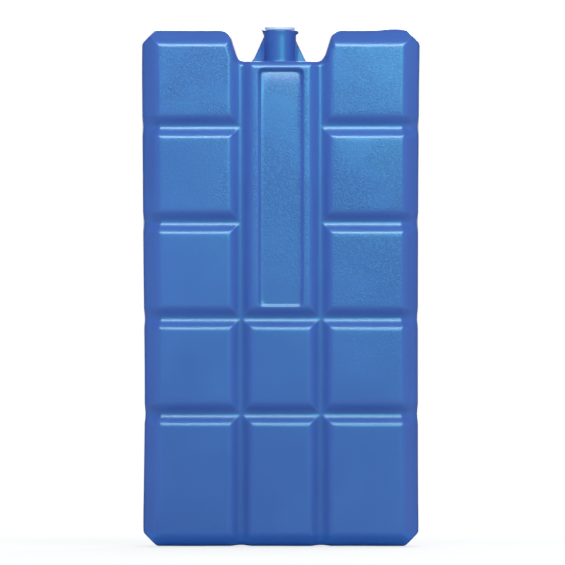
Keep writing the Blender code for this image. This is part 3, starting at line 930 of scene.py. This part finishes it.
def make_neck():
    """The neck with its lip, turned.

    A thin flash stands out of the lip at the two mould seams, and the lip and the wall are a
    little uneven.
    """
    rim = 0.25
    profile = [(0.0, 156.2), (6.6, 156.2), (6.6, 156.75)]
    profile += round_points(NECK_RADIUS + 1.0, NOTCH_FLOOR + 0.72, 1.0, 255, 180, 9)
    profile += [(NECK_RADIUS, z) for z in np.linspace(159.0, 165.4, 8)]
    profile += [(NECK_RADIUS + 0.02, 165.9), (NECK_RADIUS + 0.06, 166.3)]
    profile += [(LIP_RADIUS - 0.05, 166.7), (LIP_RADIUS, 167.0)]
    profile += round_points(LIP_RADIUS - rim, NECK_TOP - rim, rim, 0, 90, 5)
    profile += [(4.6, NECK_TOP)]
    profile += round_points(SOCKET_RADIUS + rim, NECK_TOP - rim, rim, 90, 180, 5)
    profile += [(SOCKET_RADIUS, 165.0), (SOCKET_RADIUS, 162.0), (0.0, 162.0)]

    def swell(radius, height, angle):
        lip = smooth_step((height - 166.0) / 0.7) * (radius > NECK_RADIUS - 0.1)
        left, right = near_angle(angle, math.pi, 0.2), near_angle(angle, 0.0, 0.24)
        crest = smooth_step((height - 166.9) / 0.5)
        radius = radius + lip * (0.28 + 0.27 * crest) * left + lip * 0.62 * right
        height = height + lip * (0.2 * left * crest - 0.4 * right)
        uneven = 0.05 * np.sin(2 * angle + 0.7) + 0.03 * np.sin(5 * angle)
        return radius + uneven * (radius > 4.4), height + 0.06 * np.sin(3 * angle + 1.0) * lip

    return turned("filler_neck", profile, 96, swell)


def make_web(name, edge, half_thickness):
    """One thin web beside the neck.

    At each height the section runs out along the front from inside the neck to the web's edge,
    round a half-circle and back, and it thickens as 1 + 0.9 exp(-d/0.45) towards the neck at
    distance d.
    """
    edge = np.array(edge, float)
    side = np.sign(edge[0, 0])
    low, high = edge[0, 1], edge[-1, 1]
    heights = np.concatenate([[low - 1.0], np.linspace(low, high, 26), [high + 0.25]])
    reach = np.interp(heights, edge[:, 1], np.abs(edge[:, 0]))
    reach[-1] = NECK_RADIUS - 0.9
    inner = NECK_RADIUS - 1.2
    share = np.linspace(0, 1, 12) ** 1.5
    turn = np.radians(np.linspace(-90, 90, 9))[1:-1]
    rim = (reach - half_thickness)[:, None]
    run = inner + (rim - inner) * share[None]
    away = np.maximum(run - NECK_RADIUS - 0.05, 0.0)
    half = half_thickness * (1 + 0.9 * np.exp(-away / 0.45) * (run < rim - 0.2))
    rim_y = half_thickness * np.sin(turn) * np.ones((len(rim), 1))
    x = np.concatenate([run, rim + half_thickness * np.cos(turn), run[:, ::-1]], 1)
    y = np.concatenate([-half, rim_y, half[:, ::-1]], 1)
    z = np.broadcast_to(heights[:, None], x.shape)
    points = np.stack([side * x + NECK_SHIFT, y, z], -1).reshape(-1, 3)
    numbers = np.arange(x.size).reshape(x.shape)
    faces = [tube_faces(numbers), numbers[:1, ::-1], numbers[-1:]]
    if side < 0:
        faces = [group[:, ::-1] for group in faces]
    return as_mesh(name, points, faces)


def make_plug():
    """The plug: a shank with a lead-in nose, under a low head with a rounded rim and a crown."""
    profile = [
        (0.0, PLUG_NOSE), (PLUG_SHANK - 0.6, PLUG_NOSE), (PLUG_SHANK, PLUG_NOSE + 0.6),
        (PLUG_SHANK, PLUG_SEAT - 0.1), (PLUG_SHANK + 0.1, PLUG_SEAT),
    ]
    profile += round_points(PLUG_HEAD - 0.15, PLUG_SEAT + 0.15, 0.15, -90, 0, 4)
    profile += round_points(PLUG_HEAD - 0.6, PLUG_TOP - 0.72, 0.6, 0, 75, 9)
    profile += [(3.9, PLUG_TOP - 0.08), (2.6, PLUG_TOP - 0.04), (1.3, PLUG_TOP - 0.01)]
    profile += [(0.0, PLUG_TOP)]
    return turned("neck_stopper", profile, 80)


def add_stage():
    """A pale floor, a dark room that only reflections show, and a white world.

    The room is open behind the block, and the floor lies a hair under the block.
    """
    floor_half, floor_drop = 4.0, 0.25
    corners = np.array([(-1, -1, 0), (1, -1, 0), (1, 1, 0), (-1, 1, 0)], float) * floor_half / MM
    corners[:, 2] = -floor_drop
    floor = as_mesh("floor", corners, [np.array([[0, 1, 2, 3]])])
    floor.data.materials.append(studio_floor())
    back, front, side, top = 3.0, -6.2, 1.2, 4.0
    room = np.array([
        (-side, back, 0), (-side, front, 0), (side, front, 0), (side, back, 0),
        (-side, back, top), (-side, front, top), (side, front, top), (side, back, top),
    ]) / MM
    cards = np.array([[0, 1, 5, 4], [1, 2, 6, 5], [2, 3, 7, 6], [4, 5, 6, 7], [0, 3, 2, 1]])
    walls = as_mesh("dark_cards", room, [cards])
    walls.data.materials.append(dark_card())
    walls.visible_camera = False
    walls.visible_diffuse = False
    walls.visible_shadow = False
    bpy.context.scene.world = white_world()


def add_lamp(name, place, target, size, power, colour, missed_by=None, spread=None):
    """A rectangular soft box at a place, turned to a target."""
    data = bpy.data.lights.new(name, "AREA")
    data.shape = "RECTANGLE"
    data.size, data.size_y = size
    data.energy = power
    data.color = colour
    if spread:
        data.spread = math.radians(spread)
    lamp = bpy.data.objects.new(name, data)
    lamp.visible_camera = False
    lamp.visible_diffuse = missed_by != "diffuse"
    lamp.visible_glossy = missed_by != "glossy"
    lamp.location = place
    lamp.rotation_euler = (Vector(target) - Vector(place)).to_track_quat("-Z", "Y").to_euler()
    bpy.context.scene.collection.objects.link(lamp)


def dress(piece, finish, slot, *nodes):
    """A piece's finish, its place under the root body, and the CAD nodes that it hides."""
    piece.data.materials.append(finish)
    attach(piece, "root")
    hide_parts(*nodes)


place_camera()
bpy.context.scene.view_settings.view_transform = "Standard"
blue = block_plastic("moulded blue plastic", 1.0)
dull_blue = block_plastic("blue plastic of the neck", 0.55)
dress(make_shell(), blue, "block_plastic", "block_body")
dress(make_neck(), dull_blue, "block_plastic", "block_body")
dress(make_web("left_web", *LEFT_WEB), blue, "block_plastic", "block_body")
dress(make_web("right_web", *RIGHT_WEB), blue, "block_plastic", "block_body")
dress(make_plug(), plug_plastic(), "plug_plastic", "neck_plug")
add_stage()
for lamp_name, lamp_values in LAMPS.items():
    add_lamp(lamp_name, *lamp_values)
